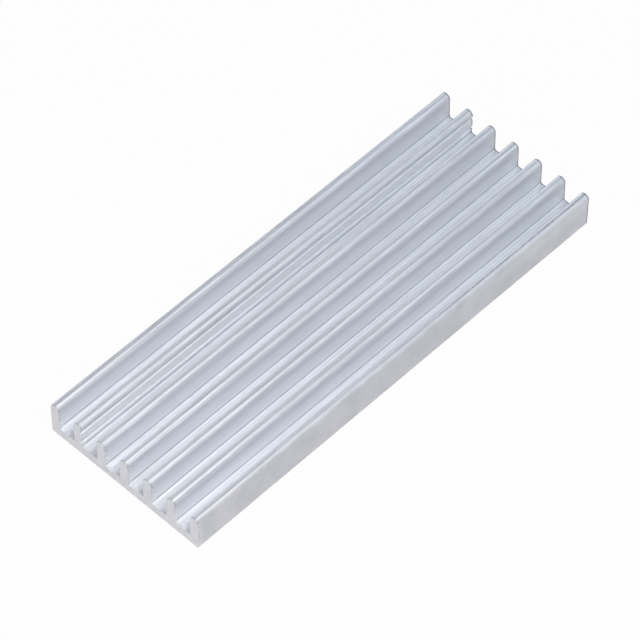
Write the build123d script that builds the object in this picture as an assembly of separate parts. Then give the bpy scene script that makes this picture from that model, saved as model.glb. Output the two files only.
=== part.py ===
from build123d import *
import math
import os

# An extruded aluminium heat sink: one solid bar with upright fins on a flat base, sawn to length.
# X runs along the extrusion, Y across the fins and Z up from the flat mounting face.
# The origin is the middle of that face. All sizes are in millimetres, and angles in degrees.

# Sizes of the bar
length = 100.0
width = 36.2
height = 7.8
base_thickness = 2.05
base_edge_radius = 0.3

# Sizes of the fins. The thickness is taken at the round tip, and the draft leans the plain walls
# that face a channel, so that a fin is a little thicker at its root.
fin_count = 7
fin_thickness = 1.9
fin_draft = 1.0
root_radius = 0.35

# Two round grooves along one wall tell this profile from its neighbours on the stock rack.
# Fins are counted from 0 at the +Y side. The marked wall faces -Y and stands upright.
marked_fin = 1
mark_count = 2
mark_radius = 0.42
mark_depth = 0.38
mark_above_floor = 1.51
mark_pitch = 2.62
mark_lip_radius = 0.08

# What follows from those sizes
tip_radius = fin_thickness / 2
tip_centre_height = height - tip_radius
fin_pitch = (width - fin_thickness) / (fin_count - 1)
touch = 1e-4


def fin_centre(index):
    """Y of a fin's middle, the two outer fins lying flush with the sides of the base."""
    return width / 2 - tip_radius - index * fin_pitch


def wall_reach(draft, z):
    """Distance in Y from a fin's middle to its wall at height z, for a wall of that draft."""
    lean = math.radians(draft)
    tangent_height = tip_centre_height + tip_radius * math.sin(lean)
    return tip_radius * math.cos(lean) + (tangent_height - z) * math.tan(lean)


def fin_section(index):
    """One fin from inside the base to its round tip, with its outer or marked wall upright."""
    centre = fin_centre(index)
    left_draft = 0 if index == 0 else fin_draft
    right_draft = 0 if index in (marked_fin, fin_count - 1) else fin_draft
    left, right = math.radians(left_draft), math.radians(right_draft)
    seat = base_thickness / 2
    left_root = (centre + wall_reach(left_draft, seat), seat)
    right_root = (centre - wall_reach(right_draft, seat), seat)
    left_tip = (
        centre + tip_radius * math.cos(left),
        tip_centre_height + tip_radius * math.sin(left),
    )
    right_tip = (
        centre - tip_radius * math.cos(right),
        tip_centre_height + tip_radius * math.sin(right),
    )
    outline = [
        Line(right_root, left_root),
        Line(left_root, left_tip),
        ThreePointArc(left_tip, (centre, height), right_tip),
        Line(right_tip, right_root),
    ]
    return make_face(outline)


def base_section():
    """The flat base plate, with its two lower edges rounded."""
    plate = Pos(0, base_thickness / 2) * Rectangle(width, base_thickness)
    lower = plate.vertices().group_by(Axis.Y)[0]
    return fillet(lower, base_edge_radius)


def channel_corners(section):
    """The corners where a channel wall meets the channel floor."""
    on_floor = [v for v in section.vertices() if abs(v.Y - base_thickness) < touch]
    return [v for v in on_floor if abs(v.X) < width / 2 - touch]


def mark_sections():
    """The round grooves of the marked wall, from the lowest up."""
    wall = fin_centre(marked_fin) - tip_radius
    middle = wall - mark_radius + mark_depth
    circles = []
    for step in range(mark_count):
        z = base_thickness + mark_above_floor + step * mark_pitch
        circles.append(Pos(middle, z) * Circle(mark_radius))
    return circles


def mark_lips(section):
    """The corners that the grooves leave along the marked wall."""
    circles = mark_sections()
    lips = []
    for v in section.vertices():
        point = Vector(v.X, v.Y)
        reach = [(point - circle.center()).length for circle in circles]
        if any(abs(r - mark_radius) < touch for r in reach):
            lips.append(v)
    return lips


def profile():
    """The whole cross section of the bar, with Y across and Z up."""
    section = base_section()
    for index in range(fin_count):
        section += fin_section(index)
    section = fillet(channel_corners(section), root_radius)
    for circle in mark_sections():
        section -= circle
    return fillet(mark_lips(section), mark_lip_radius)


def heat_sink():
    """The sawn bar, half its length to each side of the origin."""
    return extrude(Plane.YZ * profile(), amount=length / 2, both=True)


os.makedirs("parts", exist_ok=True)
bar = heat_sink()
bar.label = "heat_sink"
export_step(bar, "parts/heat_sink.step")
print("heat_sink", round(bar.volume), "cubic mm, fin pitch", round(fin_pitch, 3))
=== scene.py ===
# %% [markdown]
# An extruded aluminium heat sink
#
# The object is one bar of soft aluminium. A hot billet is pushed through a steel die, which gives
# the bar its section of seven fins on a flat base, and a saw then cuts it to length. This lesson
# loads the solid part as a fixed frame, builds the bar again with Geometry Nodes so that it also
# has the fine marks of the die and the saw, and gives it its three finishes and a plain studio.

# %% Load the solid part
import math

import bpy
from mathutils import Matrix, Vector


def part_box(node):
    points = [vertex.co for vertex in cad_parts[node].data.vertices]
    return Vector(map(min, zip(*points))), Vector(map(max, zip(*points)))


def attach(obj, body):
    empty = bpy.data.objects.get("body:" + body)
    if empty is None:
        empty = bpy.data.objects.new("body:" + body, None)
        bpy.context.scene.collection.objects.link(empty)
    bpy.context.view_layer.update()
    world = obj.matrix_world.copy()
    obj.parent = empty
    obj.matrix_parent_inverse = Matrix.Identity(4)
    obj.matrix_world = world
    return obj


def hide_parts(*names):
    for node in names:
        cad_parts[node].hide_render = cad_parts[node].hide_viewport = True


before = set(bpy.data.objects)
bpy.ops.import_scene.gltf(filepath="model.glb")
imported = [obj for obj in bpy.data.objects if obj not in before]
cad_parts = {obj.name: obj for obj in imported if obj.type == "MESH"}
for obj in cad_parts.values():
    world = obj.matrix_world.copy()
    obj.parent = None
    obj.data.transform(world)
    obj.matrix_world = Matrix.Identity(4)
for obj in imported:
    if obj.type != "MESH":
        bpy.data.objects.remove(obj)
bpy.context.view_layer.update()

# %% [markdown]
# Sizes
#
# Blender works in metres and a maker in millimetres, so every size below is written in
# millimetres and multiplied by MM. The bar's outer size is read from the solid part, so the two
# always agree. The sizes inside the section are the ones that the solid part was made with.

# %% Sizes of the bar
MM = 0.001
low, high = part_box("heat_sink")
LENGTH = high.x - low.x
WIDTH = high.y - low.y
HEIGHT = high.z - low.z
FIN_COUNT = 7
FIN_THICKNESS = 1.9 * MM
FIRST_CENTRE = (WIDTH - FIN_THICKNESS) / 2
FIN_PITCH = 2 * FIRST_CENTRE / (FIN_COUNT - 1)
SECTION = {
    "Width": WIDTH,
    "Height": HEIGHT,
    "Base Thickness": 2.05 * MM,
    "Fin Thickness": FIN_THICKNESS,
    "Draft": math.radians(1.0),
    "Root Radius": 0.35 * MM,
    "Edge Radius": 0.3 * MM,
    "Marked Fin": 1,
}
MARKS = {
    "Mark Radius": 0.42 * MM,
    "Mark Depth": 0.38 * MM,
    "First Mark Height": 3.56 * MM,
    "Mark Pitch": 2.62 * MM,
}
print("bar:", round(LENGTH / MM, 2), "x", round(WIDTH / MM, 2), "x", round(HEIGHT / MM, 2), "mm,",
      FIN_COUNT, "fins", round(FIN_PITCH / MM, 3), "mm apart")

# %% [markdown]
# A helper for node trees
#
# Geometry and material trees are both built by adding a node, setting it up and linking it. One
# small function does all three: settings are the node's own properties, and inputs are numbers,
# colours, sockets, or other nodes whose first output is meant.

# %% One function that adds a node
def add(tree, kind, inputs=None, **settings):
    """Add one node of a kind, with its settings, and with its inputs set or linked."""
    node = tree.nodes.new(kind)
    for name, value in settings.items():
        setattr(node, name, value)
    for key, value in (inputs or {}).items():
        if isinstance(value, bpy.types.Node):
            value = value.outputs[0]
        if isinstance(value, bpy.types.NodeSocket):
            tree.links.new(value, node.inputs[key])
        else:
            node.inputs[key].default_value = value
    return node


def new_tree(name, sizes):
    """Start a geometry tree with one named input for each size, and return it with its inputs."""
    tree = bpy.data.node_groups.new(name, "GeometryNodeTree")
    tree.interface.new_socket("Geometry", in_out="OUTPUT", socket_type="NodeSocketGeometry")
    kinds = {int: "NodeSocketInt", float: "NodeSocketFloat"}
    for key, value in sizes.items():
        kind = kinds.get(type(value), "NodeSocketMaterial")
        tree.interface.new_socket(key, in_out="INPUT", socket_type=kind).default_value = value
    return tree, tree.nodes.new("NodeGroupInput").outputs


print("node helpers ready in Blender", bpy.app.version_string)

# %% [markdown]
# The section's corners
#
# The section is a row of upright fins on a plate. It could be drawn point by point, but the fins
# repeat, so a rule is shorter: walking round the section from the +Y side, every fin has four
# corners, up at its left root, over the tip, and down at its right root. A row of points is made,
# and each point works out from its own number which fin and which corner it is. The walls that
# face a channel lean by the draft that lets the die clear, and the two outer walls stand upright.

# %% The drawn section as a curve
CORNERS_PER_FIN = 4
# A little under the full half thickness, so that a tip's two rounded corners never meet
TIP_ROUNDING = 0.98
ARC_STEPS = 12


def add_section(tree, size):
    """Nodes that draw the bar's section as a closed curve, with Y along X and -Z along Y."""
    index = add(tree, "GeometryNodeInputIndex")
    quarter = add(tree, "ShaderNodeMath", {0: index, 1: CORNERS_PER_FIN}, operation="DIVIDE")
    fin = add(tree, "ShaderNodeMath", {0: quarter}, operation="FLOOR")
    corner = add(tree, "ShaderNodeMath", {0: index, 1: CORNERS_PER_FIN}, operation="MODULO")
    from_middle = add(tree, "ShaderNodeMath", {0: 1.5, 1: corner}, operation="SUBTRACT")
    side = add(tree, "ShaderNodeMath", {0: from_middle}, operation="SIGN")
    offside = add(tree, "ShaderNodeMath", {0: from_middle}, operation="ABSOLUTE")
    at_tip = add(tree, "ShaderNodeMath", {0: offside, 1: 1.0}, operation="LESS_THAN")
    last = CORNERS_PER_FIN * FIN_COUNT - 1
    from_ends = add(tree, "ShaderNodeMath", {0: index, 1: last / 2}, operation="SUBTRACT")
    spread = add(tree, "ShaderNodeMath", {0: from_ends}, operation="ABSOLUTE")
    outer = add(tree, "ShaderNodeMath", {0: spread, 1: last / 2 - 1.5}, operation="GREATER_THAN")
    marked = add(tree, "ShaderNodeMath", {0: fin, 1: size["Marked Fin"], 2: 0.5},
                 operation="COMPARE")
    facing = add(tree, "ShaderNodeMath", {0: side, 1: 0.0}, operation="LESS_THAN")
    marked_wall = add(tree, "ShaderNodeMath", {0: marked, 1: facing}, operation="MULTIPLY")
    upright = add(tree, "ShaderNodeMath", {0: outer, 1: marked_wall}, operation="MAXIMUM")
    at_bottom = add(tree, "ShaderNodeMath", {0: spread, 1: last / 2 - 0.5}, operation="GREATER_THAN")

    radius = add(tree, "ShaderNodeMath", {0: size["Fin Thickness"], 1: 0.5}, operation="MULTIPLY")
    half = add(tree, "ShaderNodeMath", {0: size["Width"], 1: 0.5}, operation="MULTIPLY")
    first = add(tree, "ShaderNodeMath", {0: half, 1: radius}, operation="SUBTRACT")
    reach = add(tree, "ShaderNodeMath", {0: first, 1: 2.0 / (FIN_COUNT - 1)}, operation="MULTIPLY")
    shift = add(tree, "ShaderNodeMath", {0: fin, 1: reach}, operation="MULTIPLY")
    centre = add(tree, "ShaderNodeMath", {0: first, 1: shift}, operation="SUBTRACT")

    root = add(tree, "GeometryNodeSwitch", {0: at_bottom, 1: size["Base Thickness"], 2: 0.0},
               input_type="FLOAT")
    height = add(tree, "GeometryNodeSwitch", {0: at_tip, 1: root, 2: size["Height"]},
                 input_type="FLOAT")
    tip_centre = add(tree, "ShaderNodeMath", {0: size["Height"], 1: radius}, operation="SUBTRACT")
    below = add(tree, "ShaderNodeMath", {0: tip_centre, 1: height}, operation="SUBTRACT")
    slope = add(tree, "ShaderNodeMath", {0: size["Draft"]}, operation="TANGENT")
    lean = add(tree, "ShaderNodeMath", {0: below, 1: slope}, operation="MULTIPLY")
    cosine = add(tree, "ShaderNodeMath", {0: size["Draft"]}, operation="COSINE")
    wide = add(tree, "ShaderNodeMath", {0: radius, 1: cosine}, operation="DIVIDE")
    leaning = add(tree, "ShaderNodeMath", {0: wide, 1: lean}, operation="ADD")
    wall = add(tree, "GeometryNodeSwitch", {0: upright, 1: leaning, 2: radius}, input_type="FLOAT")
    across = add(tree, "ShaderNodeMath", {0: wall, 1: side, 2: centre}, operation="MULTIPLY_ADD")
    down = add(tree, "ShaderNodeMath", {0: height, 1: -1.0}, operation="MULTIPLY")
    place = add(tree, "ShaderNodeCombineXYZ", {"X": across, "Y": down})

    points = add(tree, "GeometryNodeMeshLine", {"Count": CORNERS_PER_FIN * FIN_COUNT})
    placed = add(tree, "GeometryNodeSetPosition", {"Geometry": points, "Position": place})
    curve = add(tree, "GeometryNodeMeshToCurve", {"Mesh": placed})
    ring = add(tree, "GeometryNodeSetSplineCyclic", {"Geometry": curve, "Cyclic": True})
    tip_round = add(tree, "ShaderNodeMath", {0: radius, 1: TIP_ROUNDING}, operation="MULTIPLY")
    low_round = add(tree, "GeometryNodeSwitch",
                    {0: at_bottom, 1: size["Root Radius"], 2: size["Edge Radius"]},
                    input_type="FLOAT")
    rounding = add(tree, "GeometryNodeSwitch", {0: at_tip, 1: low_round, 2: tip_round},
                   input_type="FLOAT")
    return add(tree, "GeometryNodeFilletCurve",
               {"Curve": ring, "Count": ARC_STEPS, "Radius": rounding, "Limit Radius": True},
               mode="POLY")


print("section:", CORNERS_PER_FIN * FIN_COUNT, "corners, each rounded in", ARC_STEPS, "steps")

# %% [markdown]
# The marking grooves and the die lines
#
# One wall carries two shallow round grooves, by which a stockman tells this profile from others.
# A groove could be cut with a Boolean, but on a swept section it is enough to move the points of
# one wall: each goes inwards by the depth of a circle at its height. The die is never perfectly
# smooth either. Every tiny ridge on its edge draws a line along the whole bar, so the points of
# the section are moved inwards by a few micrometres of noise before the sweep.

# %% Grooves on the marked wall
# How far from its fin's centre a point of the marked wall may lie, in fin thicknesses
WALL_WINDOW = 0.85


def add_marks(tree, size, section):
    """Nodes that press the two grooves into the marked wall of the section."""
    place = add(tree, "GeometryNodeInputPosition")
    axes = add(tree, "ShaderNodeSeparateXYZ", {0: place})
    height = add(tree, "ShaderNodeMath", {0: axes.outputs["Y"], 1: -1.0}, operation="MULTIPLY")
    shift = add(tree, "ShaderNodeMath", {0: size["Marked Fin"], 1: FIN_PITCH},
                operation="MULTIPLY")
    centre = add(tree, "ShaderNodeMath", {0: FIRST_CENTRE, 1: shift}, operation="SUBTRACT")
    offset = add(tree, "ShaderNodeMath", {0: axes.outputs["X"], 1: centre}, operation="SUBTRACT")
    near = add(tree, "ShaderNodeMath", {0: offset, 1: -WALL_WINDOW * FIN_THICKNESS},
               operation="GREATER_THAN")
    right = add(tree, "ShaderNodeMath", {0: offset, 1: 0.0}, operation="LESS_THAN")
    wall = add(tree, "ShaderNodeMath", {0: near, 1: right}, operation="MULTIPLY")

    above = add(tree, "ShaderNodeMath", {0: height, 1: size["First Mark Height"]},
                operation="SUBTRACT")
    half_pitch = add(tree, "ShaderNodeMath", {0: size["Mark Pitch"], 1: 0.5}, operation="MULTIPLY")
    upper = add(tree, "ShaderNodeMath", {0: above, 1: half_pitch}, operation="GREATER_THAN")
    lift = add(tree, "ShaderNodeMath", {0: upper, 1: size["Mark Pitch"]}, operation="MULTIPLY")
    offset_up = add(tree, "ShaderNodeMath", {0: above, 1: lift}, operation="SUBTRACT")
    clear = add(tree, "ShaderNodeMath", {0: size["Mark Radius"], 1: size["Mark Depth"]},
                operation="SUBTRACT")
    share = add(tree, "ShaderNodeMath", {0: clear, 1: size["Mark Radius"]}, operation="DIVIDE")
    widest = add(tree, "ShaderNodeMath", {0: share}, operation="ARCCOSINE")
    lip = add(tree, "ShaderNodeMath", {0: widest}, operation="SINE")
    mouth = add(tree, "ShaderNodeMath", {0: lip, 1: size["Mark Radius"]}, operation="MULTIPLY")
    part = add(tree, "ShaderNodeMath", {0: offset_up, 1: mouth}, operation="DIVIDE")
    far = add(tree, "ShaderNodeMath", {0: part}, operation="ABSOLUTE")
    within = add(tree, "ShaderNodeMath", {0: far, 1: 1.0}, operation="LESS_THAN")
    angle = add(tree, "ShaderNodeMath", {0: part, 1: widest}, operation="MULTIPLY")
    across = add(tree, "ShaderNodeMath", {0: angle}, operation="COSINE")
    upwards = add(tree, "ShaderNodeMath", {0: angle}, operation="SINE")
    reach = add(tree, "ShaderNodeMath", {0: across, 1: size["Mark Radius"]}, operation="MULTIPLY")
    depth = add(tree, "ShaderNodeMath", {0: reach, 1: clear}, operation="SUBTRACT")
    rise = add(tree, "ShaderNodeMath", {0: upwards, 1: size["Mark Radius"]}, operation="MULTIPLY")
    drop = add(tree, "ShaderNodeMath", {0: offset_up, 1: rise}, operation="SUBTRACT")
    chosen = add(tree, "ShaderNodeMath", {0: within, 1: wall}, operation="MULTIPLY")
    place_on_arc = add(tree, "ShaderNodeCombineXYZ", {"X": depth, "Y": drop})
    move = add(tree, "ShaderNodeVectorMath", {0: place_on_arc, "Scale": chosen},
               operation="SCALE")
    return add(tree, "GeometryNodeSetPosition", {"Geometry": section, "Offset": move})


print("grooves", [round((MARKS["First Mark Height"] + step * MARKS["Mark Pitch"]) / MM, 2)
                  for step in (0, 1)], "mm up the wall")

# %% Die lines on the section
DIE_LINE_SPACING = 0.45 * MM
DIE_LINE_DEPTH = 0.012 * MM
# Noise hardly ever falls below this, so no point moves outwards
LEAST_NOISE = 0.2


def add_die_lines(tree, section):
    """Nodes that move each point of the section inwards by a few micrometres of noise."""
    place = add(tree, "GeometryNodeInputPosition")
    noise = add(tree, "ShaderNodeTexNoise",
                {"Vector": place, "Scale": 1 / DIE_LINE_SPACING, "Detail": 3.0, "Roughness": 0.65})
    above_least = add(tree, "ShaderNodeMath", {0: noise, 1: LEAST_NOISE}, operation="SUBTRACT")
    amount = add(tree, "ShaderNodeMath", {0: above_least, 1: DIE_LINE_DEPTH},
                 operation="MULTIPLY")
    inwards = add(tree, "GeometryNodeInputNormal")
    move = add(tree, "ShaderNodeVectorMath", {0: inwards, "Scale": amount}, operation="SCALE")
    return add(tree, "GeometryNodeSetPosition", {"Geometry": section, "Offset": move})


print("die lines up to", round((1 - LEAST_NOISE) * DIE_LINE_DEPTH / MM, 4), "mm deep")

# %% [markdown]
# From section to bar
#
# A profile that keeps its shape along a straight line is a sweep, which is also how the press
# makes it. The section is given even short steps, so the grooves and the die lines have points to
# live on, and is swept along a straight line. The line has few rings in the middle, where nothing
# changes, and crowded ones at both ends, where the saw leaves its marks. The bar is a hair
# shorter than the solid, so that nothing on its ends can stand past it.

# %% Sweep the section
SECTION_STEP = 0.06 * MM
RING_COUNT = 21
RING_CROWDING = 2.7
SAW_CLEARANCE = 0.04 * MM


def sweep(tree, half, section):
    """Nodes that sweep the section along X through rings that crowd towards both ends."""
    index = add(tree, "GeometryNodeInputIndex")
    along = add(tree, "ShaderNodeMapRange",
                {"Value": index, "From Min": 0.0, "From Max": RING_COUNT - 1.0,
                 "To Min": 1.0, "To Max": -1.0})
    side = add(tree, "ShaderNodeMath", {0: along}, operation="SIGN")
    away = add(tree, "ShaderNodeMath", {0: along}, operation="ABSOLUTE")
    from_end = add(tree, "ShaderNodeMath", {0: 1.0, 1: away}, operation="SUBTRACT")
    eased = add(tree, "ShaderNodeMath", {0: from_end, 1: RING_CROWDING}, operation="POWER")
    share = add(tree, "ShaderNodeMath", {0: 1.0, 1: eased}, operation="SUBTRACT")
    signed = add(tree, "ShaderNodeMath", {0: share, 1: side}, operation="MULTIPLY")
    reach = add(tree, "ShaderNodeMath", {0: signed, 1: half}, operation="MULTIPLY")
    place = add(tree, "ShaderNodeCombineXYZ", {"X": reach})
    points = add(tree, "GeometryNodeMeshLine", {"Count": RING_COUNT})
    placed = add(tree, "GeometryNodeSetPosition", {"Geometry": points, "Position": place})
    line = add(tree, "GeometryNodeMeshToCurve", {"Mesh": placed})
    swept = add(tree, "GeometryNodeCurveToMesh",
                {"Curve": line, "Profile Curve": section, "Fill Caps": True})
    return add(tree, "GeometryNodeFlipFaces", {"Mesh": swept})


print("sweep:", RING_COUNT, "rings, points", SECTION_STEP / MM, "mm apart round the section")

# %% [markdown]
# Broken edges
#
# A saw never leaves a mathematical corner. It breaks the edge by a hundredth of a millimetre or
# so, more in one place than in the next. A Bevel modifier would break it evenly, so the last ring of
# points at each end is pulled inwards by noise instead. Noise averages a half, so twice the
# wanted break is asked of it.

# %% Break the edges at both ends
EDGE_BREAK = 0.008 * MM
TEAR_SIZE = 0.7 * MM
END_TOLERANCE = 0.01 * MM


def break_edges(tree, half, bar):
    """Nodes that pull the last ring of points at each end inwards by an uneven hair."""
    spot = add(tree, "ShaderNodeSeparateXYZ", {0: add(tree, "GeometryNodeInputPosition")})
    from_middle = add(tree, "ShaderNodeMath", {0: spot}, operation="ABSOLUTE")
    nearly = add(tree, "ShaderNodeMath", {0: half, 1: END_TOLERANCE}, operation="SUBTRACT")
    at_end = add(tree, "ShaderNodeMath", {0: from_middle, 1: nearly}, operation="GREATER_THAN")
    flat = add(tree, "ShaderNodeVectorMath",
               {0: add(tree, "GeometryNodeInputNormal"), 1: (0.0, 1.0, 1.0)}, operation="MULTIPLY")
    aside = add(tree, "ShaderNodeVectorMath", {0: flat}, operation="NORMALIZE")
    tear = add(tree, "ShaderNodeTexNoise", {"Scale": 1 / TEAR_SIZE, "Detail": 4.0})
    back = add(tree, "ShaderNodeMath", {0: tear, 1: -2.0 * EDGE_BREAK}, operation="MULTIPLY")
    move = add(tree, "ShaderNodeVectorMath", {0: aside, "Scale": back}, operation="SCALE")
    return add(tree, "GeometryNodeSetPosition",
               {"Geometry": bar, "Selection": at_end, "Offset": move})


print("edges broken by about", EDGE_BREAK / MM, "mm")

# %% [markdown]
# Which face gets which finish
#
# The faces that look along X were sawn, those within a hair of the outer sides are rubbed, and
# all others are as the die left them. Each face can tell this from its own place and direction,
# so no face is picked by hand. The drawn faces are shaded smooth, except for a narrow strip at
# each end: there the smoothing would bend the light round the sharp corner to the sawn face.

# %% Smooth the drawn faces and hand out the finishes
EDGE_STRIP = 0.12 * MM
RUB_WIDTH = 0.7 * MM
SAWN_FACING = 0.9


def give_finishes(tree, size, half, bar):
    """Nodes that smooth the drawn faces and give every face its finish."""
    spot = add(tree, "ShaderNodeSeparateXYZ", {0: add(tree, "GeometryNodeInputPosition")})
    from_middle = add(tree, "ShaderNodeMath", {0: spot}, operation="ABSOLUTE")
    facing = add(tree, "ShaderNodeSeparateXYZ", {0: add(tree, "GeometryNodeInputNormal")})
    steep = add(tree, "ShaderNodeMath", {0: facing}, operation="ABSOLUTE")
    on_cap = add(tree, "ShaderNodeMath", {0: steep, 1: SAWN_FACING}, operation="GREATER_THAN")
    on_side = add(tree, "ShaderNodeMath", {0: 1.0, 1: on_cap}, operation="SUBTRACT")
    to_strip = add(tree, "ShaderNodeMath", {0: half, 1: EDGE_STRIP}, operation="SUBTRACT")
    drawn_run = add(tree, "ShaderNodeMath", {0: from_middle, 1: to_strip}, operation="LESS_THAN")
    rounded = add(tree, "ShaderNodeMath", {0: on_side, 1: drawn_run}, operation="MULTIPLY")
    smooth = add(tree, "GeometryNodeSetShadeSmooth", {"Geometry": bar, "Shade Smooth": rounded})
    real = add(tree, "GeometryNodeRealizeInstances", {"Geometry": smooth})
    milled = add(tree, "GeometryNodeSetMaterial", {"Geometry": real, "Material": size["Mill"]})
    sideways = add(tree, "ShaderNodeMath", {0: spot.outputs["Y"]}, operation="ABSOLUTE")
    inside = add(tree, "ShaderNodeMath", {0: size["Width"], 1: 0.5, 2: -RUB_WIDTH},
                 operation="MULTIPLY_ADD")
    outside = add(tree, "ShaderNodeMath", {0: sideways, 1: inside}, operation="GREATER_THAN")
    rubbed_sides = add(tree, "GeometryNodeSetMaterial",
                       {"Geometry": milled, "Selection": outside, "Material": size["Rubbed"]})
    return add(tree, "GeometryNodeSetMaterial",
               {"Geometry": rubbed_sides, "Selection": on_cap, "Material": size["Sawn"]})


print("outer sides rubbed over", RUB_WIDTH / MM, "mm")

# %% [markdown]
# One tree for the whole bar
#
# The steps above become one tree, in the order in which the works would take them: the section,
# its grooves and die lines, the sweep, the saw and the finishes. The tree runs once on an empty
# object, and its result is kept as a plain mesh, which is what a library part needs.

# %% The whole tree of the bar
def bar_tree(mill, rubbed, sawn):
    """The geometry tree of the whole bar."""
    sizes = {"Length": LENGTH - 2 * SAW_CLEARANCE, **SECTION, **MARKS, "Mill": mill,
             "Rubbed": rubbed, "Sawn": sawn}
    tree, size = new_tree("Extruded bar", sizes)
    corners = add_section(tree, size)
    fine = add(tree, "GeometryNodeResampleCurve", {"Curve": corners, "Length": SECTION_STEP},
               mode="LENGTH")
    marked = add_marks(tree, size, fine)
    drawn = add_die_lines(tree, marked)
    half = add(tree, "ShaderNodeMath", {0: size["Length"], 1: 0.5}, operation="MULTIPLY")
    swept = sweep(tree, half, drawn)
    broken = break_edges(tree, half, swept)
    finished = give_finishes(tree, size, half, broken)
    add(tree, "NodeGroupOutput", {0: finished})
    print(tree.name, "has", len(tree.nodes), "nodes and", len(sizes), "inputs")
    return tree


def build(name, tree):
    """Run a geometry tree on an empty object and keep the result as that object's plain mesh."""
    holder = bpy.data.objects.new(name, bpy.data.meshes.new(name))
    bpy.context.scene.collection.objects.link(holder)
    modifier = holder.modifiers.new(name, "NODES")
    modifier.node_group = tree
    for item in tree.interface.items_tree:
        if item.in_out == "INPUT":
            modifier[item.identifier] = item.default_value
    graph = bpy.context.evaluated_depsgraph_get()
    mesh = bpy.data.meshes.new_from_object(holder.evaluated_get(graph))
    mesh.name = name
    holder.modifiers.remove(modifier)
    holder.data = mesh
    print(name, len(mesh.vertices), "points,", len(mesh.polygons), "faces, finishes",
          [material.name for material in mesh.materials])
    return holder


# %% [markdown]
# Colours and drawn metal
#
# A colour is easiest to write as the hex value of a colour picker, but a shader counts light, so
# one function turns the one into the other. The die leaves aluminium full of fine lines along the
# bar. A highlight is smeared wide across such lines and stays short along them, which is what the
# shader's anisotropy does once its tangent runs along the bar. Both drawn finishes share that.
# Metallic is a little under one, because fine scratches and oxide scatter part of the light.

# %% Colours and drawn metal
WHITE = "#FFFFFF"
METALLIC = 0.8
LINE_ANISOTROPY = 0.75
QUARTER_TURN = 0.25


def linear(hex_colour):
    """An sRGB hex colour as the linear red, green, blue and alpha that Blender's shaders take."""
    channels = [int(hex_colour[start:start + 2], 16) / 255 for start in (1, 3, 5)]
    curve = [c / 12.92 if c <= 0.04045 else ((c + 0.055) / 1.055) ** 2.4 for c in channels]
    return (*curve, 1.0)


def drawn_metal(name):
    """A material for metal that the die has drawn along X, with its tree, shader and place."""
    material = bpy.data.materials.new(name)
    material.use_nodes = True
    tree = material.node_tree
    shader = tree.nodes["Principled BSDF"]
    shader.inputs["Metallic"].default_value = METALLIC
    shader.inputs["Anisotropic"].default_value = LINE_ANISOTROPY
    shader.inputs["Anisotropic Rotation"].default_value = QUARTER_TURN
    along = add(tree, "ShaderNodeCombineXYZ", {"X": 1.0, "Y": 0.0, "Z": 0.0})
    tree.links.new(along.outputs[0], shader.inputs["Tangent"])
    return material, tree, shader, add(tree, "ShaderNodeTexCoord").outputs["Object"]


print("middle grey #808080 in linear light:", round(linear("#808080")[0], 3))

# %% [markdown]
# The two ends of the drawn surfaces
#
# Where the saw comes out, at +X, it drags the metal over the edge into a burr, whose shaded back is
# painted as a thin dark line round the end. Where it goes in, at -X, it smears the last half
# millimetre, most on the tips; that band is painted darker, partly for the smear and partly as
# painted shade over the edge's highlight. It also leaves bright and dull flecks in the channels.
# These are too small to be worth geometry of their own, so they are drawn in the colour, from how
# far a point is from its end.

# %% Marks of the saw and painted shade on the drawn surfaces
TIP_START = 6.9 * MM
TIP_FULL = 7.3 * MM
BURR_AND_SHADE_WIDTH = 0.32 * MM
BURR_AND_SHADE_DARKNESS = 0.85
SMEAR_AND_SHADE_WIDTH = 0.45 * MM
SMEAR_AND_SHADE_DARKNESS = 0.35
TIP_SMEAR_AND_SHADE_DARKNESS = 0.85
FLECK_REACH = 1.6 * MM
FLECK_SIZE = 0.5 * MM
FLECK_STRENGTH = 0.8


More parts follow.
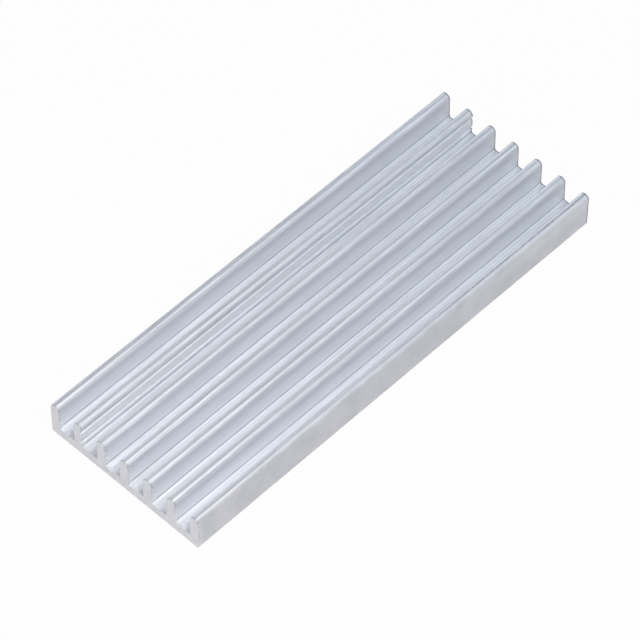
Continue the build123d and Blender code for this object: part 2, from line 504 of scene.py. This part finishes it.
def add_end_marks(tree, place, colour):
    """Nodes that paint the burr's dark line at +X, and the smear-and-shade band and the flecks at
    -X, on a colour.
    """
    axes = add(tree, "ShaderNodeSeparateXYZ", {0: place})
    along = axes.outputs["X"]
    # Painted shade: a thin dark line round the +X end, for the burr's shaded back
    burr_and_shade = add(tree, "ShaderNodeMapRange",
               {"Value": along, "From Min": LENGTH / 2 - BURR_AND_SHADE_WIDTH,
                "From Max": LENGTH / 2 - BURR_AND_SHADE_WIDTH / 2, "To Max": BURR_AND_SHADE_DARKNESS})
    burred_and_shaded = add(tree, "ShaderNodeMix", {0: burr_and_shade, 6: colour, 7: linear("#55575C")},
                 data_type="RGBA")

    on_tip = add(tree, "ShaderNodeMapRange",
                 {"Value": axes.outputs["Z"], "From Min": TIP_START, "From Max": TIP_FULL})
    off_tip = add(tree, "ShaderNodeMath", {0: 1.0, 1: on_tip}, operation="SUBTRACT")
    near = add(tree, "ShaderNodeMapRange",
               {"Value": along, "From Min": FLECK_REACH - LENGTH / 2, "From Max": -LENGTH / 2})
    flecked_part = add(tree, "ShaderNodeMath", {0: near, 1: off_tip}, operation="MULTIPLY")
    strength = add(tree, "ShaderNodeMath", {0: flecked_part, 1: FLECK_STRENGTH},
                   operation="MULTIPLY")
    flecks = add(tree, "ShaderNodeTexNoise",
                 {"Vector": place, "Scale": 1 / FLECK_SIZE, "Detail": 3.0, "Roughness": 0.6})
    dense = add(tree, "ShaderNodeMapRange", {"Value": flecks, "From Min": 0.4, "From Max": 0.68})
    fleck_colour = add(tree, "ShaderNodeMix", {0: dense, 6: linear(WHITE), 7: linear("#CDCED2")},
                       data_type="RGBA")
    flecked = add(tree, "ShaderNodeMix",
                  {0: strength, 6: burred_and_shaded.outputs[2], 7: fleck_colour.outputs[2]},
                  data_type="RGBA")

    # Partly the saw's smear and partly painted shade that tones down the highlight on the edge,
    # darkest on the tips
    edge = add(tree, "ShaderNodeMapRange",
               {"Value": along, "From Min": SMEAR_AND_SHADE_WIDTH - LENGTH / 2, "From Max": -LENGTH / 2})
    darkness = add(tree, "ShaderNodeMapRange",
                   {"Value": on_tip, "To Min": SMEAR_AND_SHADE_DARKNESS, "To Max": TIP_SMEAR_AND_SHADE_DARKNESS})
    smear_and_shade = add(tree, "ShaderNodeMath", {0: edge, 1: darkness}, operation="MULTIPLY")
    smeared_and_shaded = add(tree, "ShaderNodeMix", {0: smear_and_shade, 6: flecked.outputs[2], 7: linear("#A6A7AB")},
                  data_type="RGBA")
    return smeared_and_shaded.outputs[2]


print("end marks: burr", BURR_AND_SHADE_WIDTH / MM, "mm, drag", SMEAR_AND_SHADE_WIDTH / MM, "mm, flecks",
      FLECK_REACH / MM, "mm")

# %% [markdown]
# Mill finish: the streaks
#
# Straight from the press, aluminium is bright grey with a satin gloss, streaked by the die. The
# streaks are noise that is stretched along X, used for the colour, the roughness and a slight
# bump. They show most on the channel floors and the tips, and least on the walls. Real die lines
# are a tenth of a millimetre apart, too fine to show, so they are drawn about three times as wide.

# %% Streaks of the die
LINE_RUN = 80 * MM
LINE_WIDTH = 0.35 * MM
WALL_MIDDLE = 4.7 * MM
WALL_REACH = 2.3 * MM
WALL_FADE = 0.4 * MM
WALL_CONTRAST = 0.9
FLOOR_CONTRAST = 2.4


def add_streaks(tree, place, height):
    """Nodes for the die's streaks: their noise, and the colour that they give the metal."""
    stretch = add(tree, "ShaderNodeMapping",
                  {"Vector": place, "Scale": (MM / LINE_RUN, 1.0, 1.0)})
    lines = add(tree, "ShaderNodeTexNoise",
                {"Vector": stretch, "Scale": 1 / LINE_WIDTH, "Detail": 4.0, "Roughness": 0.7})
    up_wall = add(tree, "ShaderNodeMath", {0: height, 1: WALL_MIDDLE}, operation="SUBTRACT")
    off_wall = add(tree, "ShaderNodeMath", {0: up_wall}, operation="ABSOLUTE")
    contrast = add(tree, "ShaderNodeMapRange",
                   {"Value": off_wall, "From Min": WALL_REACH - WALL_FADE,
                    "From Max": WALL_REACH, "To Min": WALL_CONTRAST, "To Max": FLOOR_CONTRAST})
    swing = add(tree, "ShaderNodeMath", {0: lines, 1: 0.5}, operation="SUBTRACT")
    shade = add(tree, "ShaderNodeMath", {0: swing, 1: contrast, 2: 0.5}, operation="MULTIPLY_ADD")
    colour = add(tree, "ShaderNodeMix", {0: shade, 6: linear("#DCDEE2"), 7: linear("#FAFCFF")},
                 data_type="RGBA")
    return lines, colour.outputs[2]


print("streaks", LINE_WIDTH / MM, "mm wide and about", LINE_RUN / MM, "mm long")

# %% [markdown]
# Mill finish: the channel walls
#
# At the foot of a wall, where it curves into the floor, a thin dark line of painted shade is drawn,
# clearest on the walls that face -Y. Just below the tips the walls get a band of painted shade,
# and the narrow land between the two grooves of the marked wall is painted lighter than the rest
# of it. Each is a range on a point's height, so it stays straight along the whole bar.

# %% Painted foot shade, shaded band and painted light on the land
FOOT_HEIGHT = 2.42 * MM
FOOT_SPREAD = 0.3 * MM
FOOT_PAINTED_SHADE = 0.6
# The walls that face +Y get this share of the painted foot shade
HIDDEN_FOOT_SHARE = 0.25
CREST_TURN = 0.1 * MM
BAND_START = 5.0 * MM
BAND_FULL = 6.2 * MM
BAND_PAINTED_SHADE = 0.3
LAND_MIDDLE = 4.87 * MM
LAND_REACH = 0.85 * MM
# The share of the land's half width that is fully bright
LAND_CORE = 0.8
LAND_PAINTED_LIGHT = 0.6
LAND_PLACE = SECTION["Marked Fin"] * FIN_PITCH + FIN_THICKNESS / 2
LAND_TOLERANCE = 0.25 * MM


def shade_walls(tree, height, tip, past_first, past_crest, colour):
    """Nodes that paint the foot shade, the shaded band and the lighter land on a colour."""
    # Painted shade: a thin dark line at the foot of each wall, fainter on the walls that face +Y
    above = add(tree, "ShaderNodeMath", {0: height, 1: FOOT_HEIGHT}, operation="SUBTRACT")
    far = add(tree, "ShaderNodeMath", {0: above}, operation="ABSOLUTE")
    foot_shade = add(tree, "ShaderNodeMapRange",
               {"Value": far, "From Max": FOOT_SPREAD, "To Min": FOOT_PAINTED_SHADE, "To Max": 0.0},
               interpolation_type="SMOOTHSTEP")
    facing = add(tree, "ShaderNodeMapRange",
                 {"Value": past_crest, "From Min": -CREST_TURN, "From Max": CREST_TURN,
                  "To Min": HIDDEN_FOOT_SHARE})
    amount = add(tree, "ShaderNodeMath", {0: foot_shade, 1: facing}, operation="MULTIPLY")
    foot_shaded = add(tree, "ShaderNodeMix", {0: amount, 6: colour, 7: linear("#8E9096")},
                 data_type="RGBA")

    # Painted shade: a darker band on the upper walls, just below the tips
    below_tip = add(tree, "ShaderNodeMath", {0: 1.0, 1: tip}, operation="SUBTRACT")
    up_band = add(tree, "ShaderNodeMapRange",
                  {"Value": height, "From Min": BAND_START, "From Max": BAND_FULL,
                   "To Max": BAND_PAINTED_SHADE}, interpolation_type="SMOOTHSTEP")
    band = add(tree, "ShaderNodeMath", {0: up_band, 1: below_tip}, operation="MULTIPLY")
    banded = add(tree, "ShaderNodeMix", {0: band, 6: foot_shaded.outputs[2], 7: linear("#C9CACE")},
                 data_type="RGBA")

    # Painted light: the land between the two grooves of the marked wall is made lighter
    at_wall = add(tree, "ShaderNodeMath", {0: past_first, 1: LAND_PLACE, 2: LAND_TOLERANCE},
                  operation="COMPARE")
    off_land = add(tree, "ShaderNodeMath", {0: height, 1: LAND_MIDDLE}, operation="SUBTRACT")
    from_land = add(tree, "ShaderNodeMath", {0: off_land}, operation="ABSOLUTE")
    land = add(tree, "ShaderNodeMapRange",
               {"Value": from_land, "From Min": LAND_CORE * LAND_REACH, "From Max": LAND_REACH,
                "To Min": LAND_PAINTED_LIGHT, "To Max": 0.0})
    bright = add(tree, "ShaderNodeMath", {0: land, 1: at_wall}, operation="MULTIPLY")
    landed = add(tree, "ShaderNodeMix", {0: bright, 6: banded.outputs[2], 7: linear(WHITE)},
                 data_type="RGBA")
    return landed.outputs[2]


print("foot line", FOOT_HEIGHT / MM, "mm up, land", LAND_MIDDLE / MM, "mm up")

# %% [markdown]
# Mill finish: the tips
#
# The tips touch the rack and the next bar, so they wear in short dull rubs. Along the very crest
# of each tip a thin darker line is painted as painted shade, and the shoulder behind it, towards
# +Y, is painted lighter as a painted highlight.
# On the nearest fin something has scraped that line into a long ragged scratch, from the middle
# of the bar to its far end. All of them follow from how far a point lies past its fin's crest,
# which wraps round from one fin to the next.

# %% Worn tips, painted crest shade, painted shoulder highlight and scrape
RUB_STRETCH = 0.035
TIP_RUB_SIZE = 0.4 * MM
TIP_RUB_STRENGTH = 0.55
SHOULDER_START = -0.08 * MM
SHOULDER_FULL = -0.25 * MM
SHOULDER_PAINTED_HIGHLIGHT = 0.6
CREST_OFFSET = 0.05 * MM
CREST_WIDTH = 0.25 * MM
CREST_PAINTED_SHADE = 0.22
LAST_FIN_SIDE = FIRST_CENTRE - FIN_PITCH / 2
SCRAPE_FADES = 8 * MM
SCRAPE_FULL = 20 * MM
SCRAPE_STRETCH = 0.5
SCRAPE_TEAR_SIZE = 0.6 * MM
SCRAPE_DARKNESS = 0.6


def tip_wear_and_painted_light(tree, place, axes, tip, past_crest, colour):
    """Nodes that draw the rubs, the painted shoulder highlight, the painted crest shade and the
    scrape.
    """
    short = add(tree, "ShaderNodeMapping", {"Vector": place, "Scale": (RUB_STRETCH, 1.0, 1.0)})
    rubs = add(tree, "ShaderNodeTexNoise",
               {"Vector": short, "Scale": 1 / TIP_RUB_SIZE, "Detail": 3.0, "Roughness": 0.6})
    rub = add(tree, "ShaderNodeMapRange",
              {"Value": rubs, "From Min": 0.38, "From Max": 0.66, "To Max": TIP_RUB_STRENGTH})
    worn = add(tree, "ShaderNodeMath", {0: tip, 1: rub}, operation="MULTIPLY")
    dull = add(tree, "ShaderNodeMix", {0: worn, 6: colour, 7: linear("#CBCCCF")},
               data_type="RGBA")

    # Painted highlight: the shoulder of each tip towards +Y is made lighter
    behind = add(tree, "ShaderNodeMapRange",
                 {"Value": past_crest, "From Min": SHOULDER_START, "From Max": SHOULDER_FULL,
                  "To Max": SHOULDER_PAINTED_HIGHLIGHT})
    shoulder = add(tree, "ShaderNodeMath", {0: behind, 1: tip}, operation="MULTIPLY")
    shiny = add(tree, "ShaderNodeMix", {0: shoulder, 6: dull.outputs[2], 7: linear(WHITE)},
                data_type="RGBA")

    # Painted shade: a thin darker line along each crest; on the last fin the real scrape deepens it
    off_crest = add(tree, "ShaderNodeMath", {0: past_crest, 1: CREST_OFFSET},
                    operation="SUBTRACT")
    from_crest = add(tree, "ShaderNodeMath", {0: off_crest}, operation="ABSOLUTE")
    crest = add(tree, "ShaderNodeMapRange",
                {"Value": from_crest, "From Min": CREST_WIDTH / 3, "From Max": CREST_WIDTH,
                 "To Min": 1.0, "To Max": 0.0})
    on_crest = add(tree, "ShaderNodeMath", {0: crest, 1: tip}, operation="MULTIPLY")

    beyond = add(tree, "ShaderNodeMapRange",
                 {"Value": axes.outputs["X"], "From Min": SCRAPE_FADES, "From Max": SCRAPE_FULL})
    last_fin = add(tree, "ShaderNodeMath", {0: axes.outputs["Y"], 1: -LAST_FIN_SIDE},
                   operation="LESS_THAN")
    longer = add(tree, "ShaderNodeMapping",
                 {"Vector": place, "Scale": (SCRAPE_STRETCH, 1.0, 1.0)})
    ragged = add(tree, "ShaderNodeTexNoise",
                 {"Vector": longer, "Scale": 1 / SCRAPE_TEAR_SIZE, "Detail": 4.0,
                  "Roughness": 0.7})
    torn = add(tree, "ShaderNodeMapRange", {"Value": ragged, "From Min": 0.42, "From Max": 0.52})
    where = add(tree, "ShaderNodeMath", {0: last_fin, 1: beyond}, operation="MULTIPLY")
    scrape = add(tree, "ShaderNodeMath", {0: where, 1: torn}, operation="MULTIPLY")
    depth = add(tree, "ShaderNodeMapRange",
                {"Value": scrape, "To Min": CREST_PAINTED_SHADE, "To Max": SCRAPE_DARKNESS})
    crest_shade_and_scrape = add(tree, "ShaderNodeMath", {0: on_crest, 1: depth}, operation="MULTIPLY")
    scraped = add(tree, "ShaderNodeMix", {0: crest_shade_and_scrape, 6: shiny.outputs[2], 7: linear("#8C8B8F")},
                  data_type="RGBA")
    return scraped.outputs[2]


print("scrape from", SCRAPE_FADES / MM, "mm past the middle to the far end")

# %% [markdown]
# Mill finish: all of it
#
# The streaks come first, then what lies over them on the walls and the tips, and last the marks
# of the saw. Roughness and bump follow the streaks alone, since the rest is wear, painted light
# and painted shade.

# %% Mill-finish extruded aluminium
def mill_finish():
    """Bright satin aluminium with die lines along X."""
    material, tree, shader, place = drawn_metal("Mill-finish extruded aluminium")
    axes = add(tree, "ShaderNodeSeparateXYZ", {0: place})
    height = axes.outputs["Z"]
    tip = add(tree, "ShaderNodeMapRange",
              {"Value": height, "From Min": TIP_START, "From Max": TIP_FULL},
              interpolation_type="SMOOTHSTEP")
    past_first = add(tree, "ShaderNodeMath", {0: FIRST_CENTRE, 1: axes.outputs["Y"]},
                     operation="SUBTRACT")
    past_crest = add(tree, "ShaderNodeMath",
                     {0: past_first, 1: FIN_PITCH / 2, 2: -FIN_PITCH / 2}, operation="WRAP")
    lines, colour = add_streaks(tree, place, height)
    colour = shade_walls(tree, height, tip, past_first, past_crest, colour)
    colour = tip_wear_and_painted_light(tree, place, axes, tip, past_crest, colour)
    rough = add(tree, "ShaderNodeMapRange",
                {"Value": lines, "From Min": 0.3, "From Max": 0.7, "To Min": 0.38, "To Max": 0.46})
    bump = add(tree, "ShaderNodeBump",
               {"Strength": 0.3, "Distance": 0.01 * MM, "Height": lines.outputs[0]})
    tree.links.new(add_end_marks(tree, place, colour), shader.inputs["Base Color"])
    tree.links.new(rough.outputs[0], shader.inputs["Roughness"])
    tree.links.new(bump.outputs[0], shader.inputs["Normal"])
    return material


mill = mill_finish()
print(mill.name, "has", len(mill.node_tree.nodes), "nodes")

# %% [markdown]
# Rubbed sides
#
# Bars lie side by side on the cooling table and in the rack, so their outer sides rub. That takes
# the shine of the die away: the metal turns a little darker, warmer and more even, with a soft
# mottle of patches some millimetres across. Towards the far end the upper half of the side is
# painted lighter, as painted light.

# %% Rack-rubbed aluminium
SIDE_RUB_STRETCH = 0.12
SIDE_RUB_SIZE = 0.5 * MM
PATCH_SIZE = 4 * MM
LIGHTER_FROM = 15 * MM
LIGHTER_FULL = 35 * MM
SIDE_PAINTED_LIGHT = 0.45
LIGHTER_BOTTOM = 0.4 * HEIGHT
LIGHTER_TOP = 0.7 * HEIGHT


def rubbed_side():
    """Dull aluminium with a soft mottle, faint rubs along X and painted light high towards the far
    end.
    """
    material, tree, shader, place = drawn_metal("Rack-rubbed aluminium")
    stretch = add(tree, "ShaderNodeMapping",
                  {"Vector": place, "Scale": (SIDE_RUB_STRETCH, 1.0, 1.0)})
    rubs = add(tree, "ShaderNodeTexNoise",
               {"Vector": stretch, "Scale": 1 / SIDE_RUB_SIZE, "Detail": 4.0, "Roughness": 0.6})
    patches = add(tree, "ShaderNodeTexNoise",
                  {"Vector": place, "Scale": 1 / PATCH_SIZE, "Detail": 3.0, "Roughness": 0.6})
    both = add(tree, "ShaderNodeMath", {0: rubs, 1: 0.5, 2: patches.outputs[0]},
               operation="MULTIPLY_ADD")
    shade = add(tree, "ShaderNodeMapRange", {"Value": both, "From Min": 0.5, "From Max": 1.0})
    colour = add(tree, "ShaderNodeMix", {0: shade, 6: linear("#D9D9DC"), 7: linear("#E9E8EB")},
                 data_type="RGBA")
    rough = add(tree, "ShaderNodeMapRange",
                {"Value": both, "From Min": 0.5, "From Max": 1.0, "To Min": 0.40, "To Max": 0.50})
    bump = add(tree, "ShaderNodeBump",
               {"Strength": 0.3, "Distance": 0.01 * MM, "Height": rubs.outputs[0]})

    # Painted light: the upper half of the side is made lighter towards the far end
    axes = add(tree, "ShaderNodeSeparateXYZ", {0: place})
    along = add(tree, "ShaderNodeMapRange",
                {"Value": axes.outputs["X"], "From Min": LIGHTER_FROM, "From Max": LIGHTER_FULL,
                 "To Max": SIDE_PAINTED_LIGHT})
    upper = add(tree, "ShaderNodeMapRange",
                {"Value": axes.outputs["Z"], "From Min": LIGHTER_BOTTOM,
                 "From Max": LIGHTER_TOP})
    amount = add(tree, "ShaderNodeMath", {0: along, 1: upper}, operation="MULTIPLY")
    side_painted_light = add(tree, "ShaderNodeMix", {0: amount, 6: colour.outputs[2], 7: linear("#F8F7F8")},
                  data_type="RGBA")
    tree.links.new(add_end_marks(tree, place, side_painted_light.outputs[2]), shader.inputs["Base Color"])
    tree.links.new(rough.outputs[0], shader.inputs["Roughness"])
    tree.links.new(bump.outputs[0], shader.inputs["Normal"])
    return material


rubbed = rubbed_side()
print(rubbed.name, "has", len(rubbed.node_tree.nodes), "nodes")

# %% [markdown]
# Saw cut
#
# The two ends are cut by a round saw, whose teeth leave shallow arcs across the face and a duller,
# slightly rougher metal than the die does. The arcs are a wave on the distance from the blade's
# centre, far outside the bar, bent a little by noise. Real teeth marks are a few tenths of a
# millimetre apart, so they are drawn about three times as coarse as they are.

# %% Saw-cut aluminium
BLADE_CENTRE = (0.0, 70 * MM, -90 * MM)
TOOTH_PITCH = 0.9 * MM
GRAIN_SIZE = 0.8 * MM
ARC_BEND = 6.0
ARC_STRENGTH = 0.05


def saw_cut():
    """Matte sawn aluminium with shallow arcs from the blade."""
    material = bpy.data.materials.new("Saw-cut aluminium")
    material.use_nodes = True
    tree = material.node_tree
    shader = tree.nodes["Principled BSDF"]
    shader.inputs["Metallic"].default_value = METALLIC
    place = add(tree, "ShaderNodeTexCoord").outputs["Object"]
    noise = add(tree, "ShaderNodeTexNoise",
                {"Vector": place, "Scale": 1 / GRAIN_SIZE, "Detail": 5.0, "Roughness": 0.7})
    flat = add(tree, "ShaderNodeVectorMath", {0: place, 1: (0.0, 1.0, 1.0)}, operation="MULTIPLY")
    away = add(tree, "ShaderNodeVectorMath", {0: flat, 1: BLADE_CENTRE}, operation="DISTANCE")
    turn = add(tree, "ShaderNodeMath", {0: away.outputs["Value"], 1: math.tau / TOOTH_PITCH},
               operation="MULTIPLY")
    bent = add(tree, "ShaderNodeMath", {0: noise, 1: ARC_BEND, 2: turn.outputs[0]},
               operation="MULTIPLY_ADD")
    arcs = add(tree, "ShaderNodeMath", {0: bent}, operation="SINE")
    height = add(tree, "ShaderNodeMath", {0: arcs, 1: ARC_STRENGTH, 2: noise.outputs[0]},
                 operation="MULTIPLY_ADD")
    shade = add(tree, "ShaderNodeMapRange", {"Value": height, "From Min": 0.25, "From Max": 0.75})
    colour = add(tree, "ShaderNodeMix", {0: shade, 6: linear("#D0D0D3"), 7: linear("#E2E2E4")},
                 data_type="RGBA")
    rough = add(tree, "ShaderNodeMapRange",
                {"Value": noise, "From Min": 0.3, "From Max": 0.7, "To Min": 0.55, "To Max": 0.7})
    bump = add(tree, "ShaderNodeBump",
               {"Strength": 0.4, "Distance": 0.02 * MM, "Height": height.outputs[0]})
    tree.links.new(colour.outputs[2], shader.inputs["Base Color"])
    tree.links.new(rough.outputs[0], shader.inputs["Roughness"])
    tree.links.new(bump.outputs[0], shader.inputs["Normal"])
    return material


sawn = saw_cut()
print(sawn.name, "has", len(sawn.node_tree.nodes), "nodes")

# %% [markdown]
# The bar takes the solid's place
#
# The finished mesh rides on the part's one body and is shown instead of the plain solid, whose
# shape it shares.

# %% Make the bar and set it in place of the solid
bar = build("heat_sink_bar", bar_tree(mill, rubbed, sawn))
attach(bar, "root")
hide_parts("heat_sink")

# %% [markdown]
# The table
#
# Small parts are photographed on white card that is lit until it turns pure white. A grey card
# under strong lamps would need the light just right, so this card glows for the camera and,
# faintly, for the metal that mirrors it. To every other ray it is plain matte card, which takes
# the bar's soft shadow and sends light back up into it.

# %% Table
CARD_COLOUR = "#A6A6A6"
GLOW_IN_VIEW = 0.97
GLOW_IN_METAL = 0.1
TABLE_HALF = 3.0


def table_material():
    """White card that the camera and the metal see as white, and that still takes shadow."""
    material = bpy.data.materials.new("White card")
    material.use_nodes = True
    tree = material.node_tree
    shader = tree.nodes["Principled BSDF"]
    shader.inputs["Base Color"].default_value = linear(CARD_COLOUR)
    shader.inputs["Roughness"].default_value = 1.0
    shader.inputs["Specular IOR Level"].default_value = 0.0
    glow = add(tree, "ShaderNodeEmission", {"Color": linear(WHITE), "Strength": 1.0})
    rays = add(tree, "ShaderNodeLightPath")
    mirrored = add(tree, "ShaderNodeMath", {0: rays.outputs["Is Glossy Ray"],
                                            1: rays.outputs["Is Transmission Ray"]},
                   operation="MAXIMUM")
    faint = add(tree, "ShaderNodeMath", {0: mirrored, 1: GLOW_IN_METAL}, operation="MULTIPLY")
    seen = add(tree, "ShaderNodeMath", {0: rays.outputs["Is Camera Ray"], 1: GLOW_IN_VIEW},
               operation="MULTIPLY")
    amount = add(tree, "ShaderNodeMath", {0: seen, 1: faint}, operation="MAXIMUM")
    mix = add(tree, "ShaderNodeMixShader", {0: amount, 1: shader, 2: glow})
    out = tree.nodes["Material Output"]
    tree.links.new(mix.outputs[0], out.inputs["Surface"])
    return material


table_mesh = bpy.data.meshes.new("table")
table_mesh.from_pydata(
    [(-TABLE_HALF, -TABLE_HALF, low.z), (TABLE_HALF, -TABLE_HALF, low.z),
     (TABLE_HALF, TABLE_HALF, low.z), (-TABLE_HALF, TABLE_HALF, low.z)], [], [(0, 1, 2, 3)])
table = bpy.data.objects.new("table", table_mesh)
table_mesh.materials.append(table_material())
bpy.context.scene.collection.objects.link(table)
print("table", 2 * TABLE_HALF, "m across, at the bar's underside")

# %% [markdown]
# The lamps
#
# Polished metal shows what stands round it, so its look is made by large soft lamps more than by
# its colour. Eleven round lamps stand at the same distance from the bar. The strongest is in
# front and high, a second one shines low along the channels from the near end, and the weak ones
# fill in what the metal mirrors elsewhere. A heading of 0 is beyond the far end, 90 is to the
# left of the bar and 270 to its right.

# %% Lamps
# Name, degrees over the table, degrees of heading, metres across, watts, tint
LAMPS = (
    ("front high", 64, 240, 0.26, 3.16, "#FEFFFF"),
    ("right high", 64, 300, 0.26, 0.332, "#FFF9F7"),
    ("right", 46, 270, 0.24, 0.83, "#F9F8FF"),
    ("near low", 10, 180, 0.18, 1.96, "#FFFCFF"),
    ("near high", 64, 180, 0.26, 0.32, "#F2FAFF"),
    ("far high", 64, 0, 0.26, 0.09, "#E6EDFF"),
    ("far right", 46, 315, 0.24, 0.12, "#DBEDFF"),
    ("far right low", 28, 315, 0.22, 0.18, "#E2EDFF"),
    ("far left low", 28, 45, 0.22, 0.255, "#DFEBFF"),
    ("left low", 28, 90, 0.22, 1.18, "#E3EAFF"),
    ("far low", 28, 0, 0.22, 0.295, "#A0E0FF"),
)
LAMP_DISTANCE = 0.6
for name, rise, heading, size, power, tint in LAMPS:
    data = bpy.data.lights.new(name, "AREA")
    data.shape = "DISK"
    data.size = size
    data.energy = power
    data.color = linear(tint)[:3]
    lamp = bpy.data.objects.new(name, data)
    up = math.radians(rise)
    along = math.radians(heading)
    direction = Vector((math.cos(up) * math.cos(along), math.cos(up) * math.sin(along),
                        math.sin(up)))
    lamp.location = direction * LAMP_DISTANCE
    lamp.rotation_euler = (-lamp.location).to_track_quat("-Z", "Y").to_euler()
    bpy.context.scene.collection.objects.link(lamp)
print(len(LAMPS), "lamps,", round(sum(lamp[4] for lamp in LAMPS), 2), "W in all")

# %% [markdown]
# The air of the studio
#
# White walls send a little light from everywhere, which keeps the deepest corners from going
# black. The view transform is Standard, because the card must come out white and not toned down.

# %% Surroundings and view
AIR_STRENGTH = 0.1
world = bpy.data.worlds.new("studio air")
world.use_nodes = True
background = world.node_tree.nodes["Background"]
background.inputs["Color"].default_value = linear(WHITE)
background.inputs["Strength"].default_value = AIR_STRENGTH
bpy.context.scene.world = world
bpy.context.scene.view_settings.view_transform = "Standard"
print("view transform", bpy.context.scene.view_settings.view_transform)

# %% [markdown]
# The camera
#
# The picture was taken from well above and from far off with a long lens, so the far end looks
# hardly smaller than the near end. The camera is given as a photographer would: which way it
# heads over the table, how far down it looks, how it is rolled, what it aims at and from how far.
# It was fitted to the corners and the fin lines of the bar.

# %% Camera
HEADING = math.radians(46.223)
DOWN = math.radians(52.319)
ROLL = math.radians(0.3145)
AIM = Vector((-2.026, -0.754, 3.9)) * MM
DISTANCE = 751.5 * MM
SENSOR_WIDTH = 36.0
FOCAL_LENGTH = 237.95
camera_data = bpy.data.cameras.new("camera")
camera_data.sensor_width = SENSOR_WIDTH
camera_data.lens = FOCAL_LENGTH
camera = bpy.data.objects.new("camera", camera_data)
turn = (Matrix.Rotation(-HEADING, 4, "Z") @ Matrix.Rotation(math.pi / 2 - DOWN, 4, "X")
        @ Matrix.Rotation(ROLL, 4, "Z"))
backwards = turn @ Vector((0, 0, 1))
camera.matrix_world = Matrix.Translation(AIM + backwards * DISTANCE) @ turn
bpy.context.scene.collection.objects.link(camera)
bpy.context.scene.camera = camera
print("camera", round(DISTANCE, 3), "m from the bar, lens", FOCAL_LENGTH, "mm")
